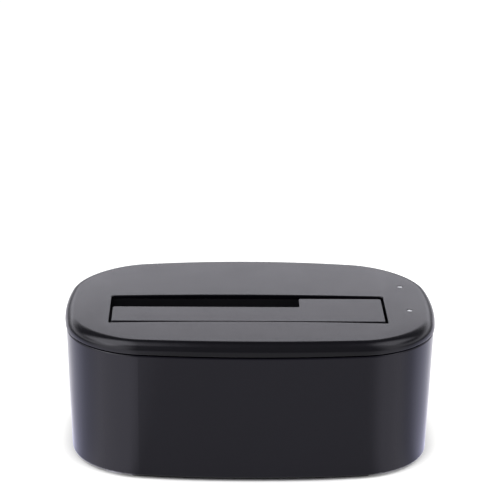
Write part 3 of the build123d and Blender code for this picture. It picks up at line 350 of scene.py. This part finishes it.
# Finishes. A grain is so many repeats per metre, a bump is its height and an edge is a radius
finishes = {
    "gloss_body": {
        "colour": (0.0062, 0.0056, 0.0095), "rough": 0.075, "ior": 1.28, "grain": 900, "bump": 0.00001,
    },
    "satin_cover": {
        "colour": (0.0026, 0.0024, 0.0038), "rough": 0.18, "ior": 1.28, "grain": 4200, "bump": 0.00002,
    },
    "flap_plastic": {
        "colour": (0.0026, 0.0024, 0.0038), "rough": 0.18, "ior": 1.28, "grain": 4200, "bump": 0.00002,
        "edge": 0.0002,
    },
    "black_plastic": {
        "colour": (0.004, 0.004, 0.005), "rough": 0.5, "ior": 1.33, "grain": 2600, "bump": 0.00006,
    },
    "foot_rubber": {
        "colour": (0.012, 0.012, 0.012), "rough": 0.75, "ior": 1.4, "grain": 3000, "bump": 0.00008,
    },
    "socket_plastic": {
        "colour": (0.008, 0.008, 0.009), "rough": 0.45, "ior": 1.45, "grain": 2600, "bump": 0.00004,
    },
    "port_blue": {
        "colour": (0.01, 0.09, 0.45), "rough": 0.4, "ior": 1.45, "grain": 2600, "bump": 0.00003,
    },
    "rocker_gloss": {
        "colour": (0.008, 0.008, 0.009), "rough": 0.16, "ior": 1.46, "grain": 900, "bump": 0.00001,
    },
    "chip_epoxy": {
        "colour": (0.016, 0.016, 0.018), "rough": 0.6, "ior": 1.45, "grain": 5000, "bump": 0.00004,
    },
    "board_laminate": {
        "colour": (0.006, 0.07, 0.026), "rough": 0.3, "ior": 1.5, "grain": 1500, "bump": 0.00002,
    },
    "led_resin": {
        "colour": (0.8, 0.79, 0.7), "rough": 0.25, "ior": 1.5, "grain": 1500, "bump": 0.00001,
    },
    "ceramic": {
        "colour": (0.42, 0.3, 0.19), "rough": 0.45, "ior": 1.5, "grain": 3000, "bump": 0.00002,
    },
    "ferrite": {
        "colour": (0.05, 0.05, 0.055), "rough": 0.7, "ior": 1.6, "grain": 4000, "bump": 0.00008,
    },
    "pin_steel": {"colour": (0.55, 0.55, 0.56), "rough": 0.25, "metal": True, "bump": 0.00001},
    "spring_steel": {"colour": (0.5, 0.5, 0.52), "rough": 0.3, "metal": True, "bump": 0.00001},
    "screw_zinc": {"colour": (0.6, 0.61, 0.64), "rough": 0.33, "metal": True, "bump": 0.00002},
    "contact_gold": {"colour": (0.8, 0.58, 0.22), "rough": 0.2, "metal": True, "bump": 0.00001},
    "contact_nickel": {"colour": (0.7, 0.69, 0.66), "rough": 0.22, "metal": True, "bump": 0.00001},
    "port_steel": {"colour": (0.66, 0.66, 0.68), "rough": 0.24, "metal": True, "bump": 0.00002},
    "capacitor_can": {"colour": (0.72, 0.72, 0.74), "rough": 0.28, "metal": True, "bump": 0.00001},
}

# What the finishes share
wear = {
    "shade": 0.12,          # how much the colour goes up and down
    "roughShade": 0.08,     # and the roughness
    "broader": 40,          # how much broader those patches are than the grain
    "fineDetail": 3.0,
    "broadDetail": 2.0,
    "noiseSpan": (0.3, 0.7),
    "metalGrain": 2500,
    "metalIor": 1.5,
    "edgeSamples": 6,
}


def grainNode(tree, scale, detail):
    coords = tree.nodes.new("ShaderNodeTexCoord")
    noise = tree.nodes.new("ShaderNodeTexNoise")
    noise.inputs["Scale"].default_value = scale
    noise.inputs["Detail"].default_value = detail
    tree.links.new(coords.outputs["Object"], noise.inputs["Vector"])
    return noise


def patchyRoughness(tree, shader, noise, low, high):
    ramp = tree.nodes.new("ShaderNodeMapRange")
    ramp.inputs["From Min"].default_value, ramp.inputs["From Max"].default_value = wear["noiseSpan"]
    ramp.inputs["To Min"].default_value = low
    ramp.inputs["To Max"].default_value = high
    tree.links.new(noise.outputs["Fac"], ramp.inputs["Value"])
    tree.links.new(ramp.outputs["Result"], shader.inputs["Roughness"])


def patchyColour(tree, shader, noise, colour):
    tint = tree.nodes.new("ShaderNodeMix")
    tint.data_type = "RGBA"
    darker, lighter = 1 - wear["shade"], 1 + wear["shade"]
    tint.inputs["A"].default_value = (*(part * darker for part in colour), 1.0)
    tint.inputs["B"].default_value = (*(part * lighter for part in colour), 1.0)
    tree.links.new(noise.outputs["Fac"], tint.inputs["Factor"])
    tree.links.new(tint.outputs["Result"], shader.inputs["Base Color"])


def makeFinish(name, finish):
    material = bpy.data.materials.new(name)
    material.use_nodes = True
    tree = material.node_tree
    shader = tree.nodes["Principled BSDF"]
    grain = finish.get("grain", wear["metalGrain"])
    fine = grainNode(tree, grain, wear["fineDetail"])
    broad = grainNode(tree, grain / wear["broader"], wear["broadDetail"])
    patchyColour(tree, shader, broad, finish["colour"])
    smoother, rougher = 1 - wear["roughShade"], 1 + wear["roughShade"]
    patchyRoughness(tree, shader, broad, finish["rough"] * smoother, finish["rough"] * rougher)
    bump = tree.nodes.new("ShaderNodeBump")
    bump.inputs["Strength"].default_value = 1.0
    bump.inputs["Distance"].default_value = finish["bump"]
    tree.links.new(fine.outputs["Fac"], bump.inputs["Height"])
    tree.links.new(bump.outputs["Normal"], shader.inputs["Normal"])
    if "edge" in finish:
        rim = tree.nodes.new("ShaderNodeBevel")     # the small radius of a moulded edge
        rim.samples = wear["edgeSamples"]
        rim.inputs["Radius"].default_value = finish["edge"]
        tree.links.new(rim.outputs["Normal"], bump.inputs["Normal"])
    shader.inputs["IOR"].default_value = finish.get("ior", wear["metalIor"])
    shader.inputs["Metallic"].default_value = 1.0 if finish.get("metal") else 0.0
    return material


# Clear acrylic with a frosted end, for the light pipes
pipe = {
    "colour": (0.86, 0.88, 0.9),
    "rough": (0.2, 0.35),
    "ior": 1.49,
    "clear": 0.35,
    "grain": 2000,
    "detail": 2.0,
}


def makePipeFinish():
    material = bpy.data.materials.new("pipe_clear")
    material.use_nodes = True
    tree = material.node_tree
    shader = tree.nodes["Principled BSDF"]
    patchyRoughness(tree, shader, grainNode(tree, pipe["grain"], pipe["detail"]), *pipe["rough"])
    shader.inputs["Base Color"].default_value = (*pipe["colour"], 1.0)
    shader.inputs["IOR"].default_value = pipe["ior"]
    shader.inputs["Transmission Weight"].default_value = pipe["clear"]
    return material


palette = {name: makeFinish(name, finish) for name, finish in finishes.items()}
palette["pipe_clear"] = makePipeFinish()
slots = {row["node"]: row["material_slot"] for row in frame["record"]["subparts"]}
for name, node in nodes.items():
    node.data.materials.clear()
    node.data.materials.append(palette[slots[name]])
print("finishes given:", len(palette))

# Outer shells with the small radius that a mould leaves on the two edges of the seam, and a top edge
# that grows softer towards the corners
shellForm = {
    "halfWidth": 0.0699,
    "halfDepth": 0.04645,
    "height": 0.055,
    "frontRadius": 0.352,
    "cornerRadius": 0.0314,
    "sideRadius": 0.125,
    "crownRadius": 2.354,
    "seam": 0.05,
    "shadowGap": 0.0004,
    "bodyInset": 0.000313,      # how far the body's upper edge stands in from the cover
    "draft": 1.9,
    "edgeRadius": 0.0037,
    "softest": 0.0046,          # width of the top edge half way round a corner
    "softTurn": (2, 44, 46, 88),    # degrees from the front
    "softReach": 0.009,
    "coverRim": 0.0004,
    "bodyRim": 0.0008,
    "rimSteps": 5,
    "near": 0.00003,            # how far off the seam or the crown a point may lie
    "arcSlack": 0.035,          # shares of the edge radius by which a point may miss the edge's arc
    "levelSlack": 0.01,
    "fallSlack": 0.03,
    "inwardLimit": -0.1,        # a normal that points further in or down isn't on the outside
    "downwardLimit": -0.05,
    "facing": 0.5,              # from here on a normal counts as facing up, down or out
}


def cornerCentre(form):
    # Where the corner's arc touches both the side's and the front's from inside
    sideX = form["halfWidth"] - form["sideRadius"]
    frontY = form["halfDepth"] - form["frontRadius"]
    sideReach = form["sideRadius"] - form["cornerRadius"]
    frontReach = form["frontRadius"] - form["cornerRadius"]
    gap = math.hypot(sideX, frontY)
    along = (sideReach ** 2 - frontReach ** 2 + gap ** 2) / (2 * gap)
    across = math.sqrt(sideReach ** 2 - along ** 2)
    leanX, leanY = -sideX / gap, frontY / gap
    return sideX + along * leanX - across * leanY, along * leanY + across * leanX, sideX, frontY


def outlineAt(point, form):
    # How far inside the cover's outline a point lies, the way out, and how far round from the front
    cornerX, cornerY, sideX, frontY = cornerCentre(form)
    x, y = abs(point.x), abs(point.y)
    turn = math.atan2(x - cornerX, y - cornerY)
    if turn < math.atan2(cornerX, cornerY - frontY):
        centreX, centreY, radius = 0.0, frontY, form["frontRadius"]
    elif turn > math.atan2(cornerX - sideX, cornerY):
        centreX, centreY, radius = sideX, 0.0, form["sideRadius"]
    else:
        centreX, centreY, radius = cornerX, cornerY, form["cornerRadius"]
    reach = math.hypot(x - centreX, y - centreY)
    outX = math.copysign((x - centreX) / reach, point.x)
    outY = math.copysign((y - centreY) / reach, point.y)
    out = Vector((outX, outY, 0.0))
    return radius - reach, out, math.degrees(math.atan2(abs(out.x), abs(out.y)))


def crownDrop(x, form):
    return form["crownRadius"] - math.sqrt(form["crownRadius"] ** 2 - x ** 2)


def clamped(value):
    return min(max(value, 0.0), 1.0)


def softWidth(turn, form):
    first, second, third, last = form["softTurn"]
    share = clamped((turn - first) / (second - first)) * clamped((last - turn) / (last - third))
    share = share * share * (3 - 2 * share)
    return form["edgeRadius"] + (form["softest"] - form["edgeRadius"]) * share


def softenTop(point, normal, form):
    inset, out, turn = outlineAt(point, form)
    radius = form["edgeRadius"]
    drop = form["height"] - crownDrop(point.x, form) - point.z
    level, fall = 1 - inset / radius, 1 - drop / radius
    onArc = abs(math.hypot(level, fall) - 1) < form["arcSlack"]
    inReach = level > -form["levelSlack"] and fall > -form["fallSlack"]
    onEdge = onArc and inReach and normal.dot(out) > form["inwardLimit"]
    onTop = abs(drop) < form["near"] and radius < inset < form["softReach"]
    if normal.z < form["downwardLimit"] or not (onEdge or onTop):
        return point, normal
    widen = softWidth(turn, form) - radius
    if onEdge:
        theta = math.atan2(max(level, 0.0), max(fall, 0.0))
        shift = widen * (1 - math.sin(theta))
        up = Vector((point.x / form["crownRadius"], 0.0, 1.0))
        normal = (out * math.sin(theta) / (radius + widen) + up * math.cos(theta) / radius).normalized()
    else:
        shift = widen * (form["softReach"] - inset) / (form["softReach"] - radius)
    moved = point - out * shift
    moved.z += crownDrop(point.x, form) - crownDrop(moved.x, form)
    return moved, normal


def openRim(points, normals, shell, form):
    # Draws back the wall and the level face where they meet, and softens the top of the cover
    rim, side = shell["rim"], shell["side"]
    slope = math.tan(math.radians(form["draft"])) if side > 0 else 0.0
    ring = {}
    for index, point in enumerate(points):
        if index not in normals:
            continue
        depth, out, turn = outlineAt(point, form)
        if abs(point.z - shell["height"]) < form["near"] and abs(depth - shell["inset"]) < form["near"]:
            if normals[index].z * side > form["facing"]:
                points[index] = point - out * rim * (1 + slope)
            elif normals[index].dot(out) > form["facing"]:
                points[index] = point - out * rim * slope - Vector((0.0, 0.0, side * rim))
                ring[index] = out
        elif side < 0:
            points[index], normals[index] = softenTop(point, normals[index], form)
    return ring


def rimRows(points, normals, ring, shell, form):
    # The points that turn the wall over into the level face, in a row for each corner of the ring
    rise = Vector((0.0, 0.0, shell["side"]))
    rows = {}
    for index, out in ring.items():
        rows[index] = [index]
        for step in range(1, form["rimSteps"] + 1):
            angle = math.pi / 2 * step / form["rimSteps"]
            inward, upward = 1 - math.cos(angle), math.sin(angle)
            points.append(points[index] - out * shell["rim"] * inward + rise * shell["rim"] * upward)
            normals[len(points) - 1] = out * math.cos(angle) + rise * math.sin(angle)
            rows[index].append(len(points) - 1)
    return rows


def rimFaces(faces, rows, form):
    uses = {}
    for face in faces:
        for first, second in zip(face, face[1:] + face[:1]):
            uses.setdefault(frozenset((first, second)), []).append((first, second))
    strip = []
    for pairs in uses.values():
        first, second = pairs[0]
        if len(pairs) == 1 and first in rows and second in rows:
            near, far = rows[first], rows[second]
            for step in range(form["rimSteps"]):
                strip.append((far[step], near[step], near[step + 1], far[step + 1]))
    return strip


def makeShell(nodeName, pieceName, shell, form):
    source = nodes[nodeName].data
    points = [vertex.co.copy() for vertex in source.vertices]
    faces = [tuple(polygon.vertices) for polygon in source.polygons]
    normals = {}
    for loop, corner in zip(source.loops, source.corner_normals):
        normals.setdefault(loop.vertex_index, corner.vector.copy())
    ring = openRim(points, normals, shell, form)
    rows = rimRows(points, normals, ring, shell, form)
    faces += rimFaces(faces, rows, form)
    mesh = bpy.data.meshes.new(pieceName)
    mesh.from_pydata([tuple(point) for point in points], [], faces)
    for polygon in mesh.polygons:
        polygon.use_smooth = True
    mesh.normals_split_custom_set([tuple(normals[loop.vertex_index]) for loop in mesh.loops])
    mesh.materials.append(palette[slots[nodeName]])
    piece = bpy.data.objects.new(pieceName, mesh)
    bpy.context.scene.collection.objects.link(piece)
    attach(piece, "housing")
    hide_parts(nodeName)
    print(pieceName, "rim corners:", len(ring), "faces:", len(faces))


# side is 1 where the rim turns over upwards, -1 where it turns under
coverShell = {"height": shellForm["seam"], "inset": 0.0, "rim": shellForm["coverRim"], "side": -1}
bodyShell = {
    "height": shellForm["seam"] - shellForm["shadowGap"],
    "inset": shellForm["bodyInset"],
    "rim": shellForm["bodyRim"],
    "side": 1,
}
makeShell("top_cover", "softCover", coverShell, shellForm)
makeShell("body_shell", "softBody", bodyShell, shellForm)

# Domed lens ends in the two light windows
lens = {
    "windows": ((0.0585, 0.01712), (0.06, -0.00858)),
    "radius": 0.00105,
    "skirt": 0.0003,        # straight side under the dome
    "edgeSink": 0.00026,    # how far the dome's edge lies under the cover
    "rise": 0.0002,
    "rings": 8,
    "segments": 40,
}


def lensProfile(edge, form):
    profile = [(form["radius"], edge - form["skirt"]), (form["radius"], edge - form["skirt"] / 2)]
    for step in range(form["rings"]):
        angle = math.pi / 2 * step / form["rings"]
        profile.append((form["radius"] * math.cos(angle), edge + form["rise"] * math.sin(angle)))
    return profile


def makeLens(number, place, form):
    x, y = place
    edge = form["height"] - crownDrop(x, form) - lens["edgeSink"]
    profile = lensProfile(edge, lens)
    count = lens["segments"]
    points = []
    for radius, height in profile:
        for segment in range(count):
            turn = 2 * math.pi * segment / count
            points.append((x + radius * math.cos(turn), y + radius * math.sin(turn), height))
    points.append((x, y, edge + lens["rise"]))
    faces = []
    for row in range(len(profile) - 1):
        low, high = row * count, (row + 1) * count
        for segment in range(count):
            after = (segment + 1) % count
            faces.append((low + segment, low + after, high + after, high + segment))
    last = (len(profile) - 1) * count
    for segment in range(count):
        faces.append((last + segment, last + (segment + 1) % count, len(points) - 1))
    faces.append(tuple(reversed(range(count))))
    mesh = bpy.data.meshes.new(f"lensEnd{number}")
    mesh.from_pydata(points, [], faces)
    for polygon in mesh.polygons:
        polygon.use_smooth = len(polygon.vertices) < count
    mesh.materials.append(palette["pipe_clear"])
    piece = bpy.data.objects.new(f"lensEnd{number}", mesh)
    bpy.context.scene.collection.objects.link(piece)
    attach(piece, "housing")


for number, place in enumerate(lens["windows"], 1):
    makeLens(number, place, shellForm)
print("lens ends made:", len(lens["windows"]))
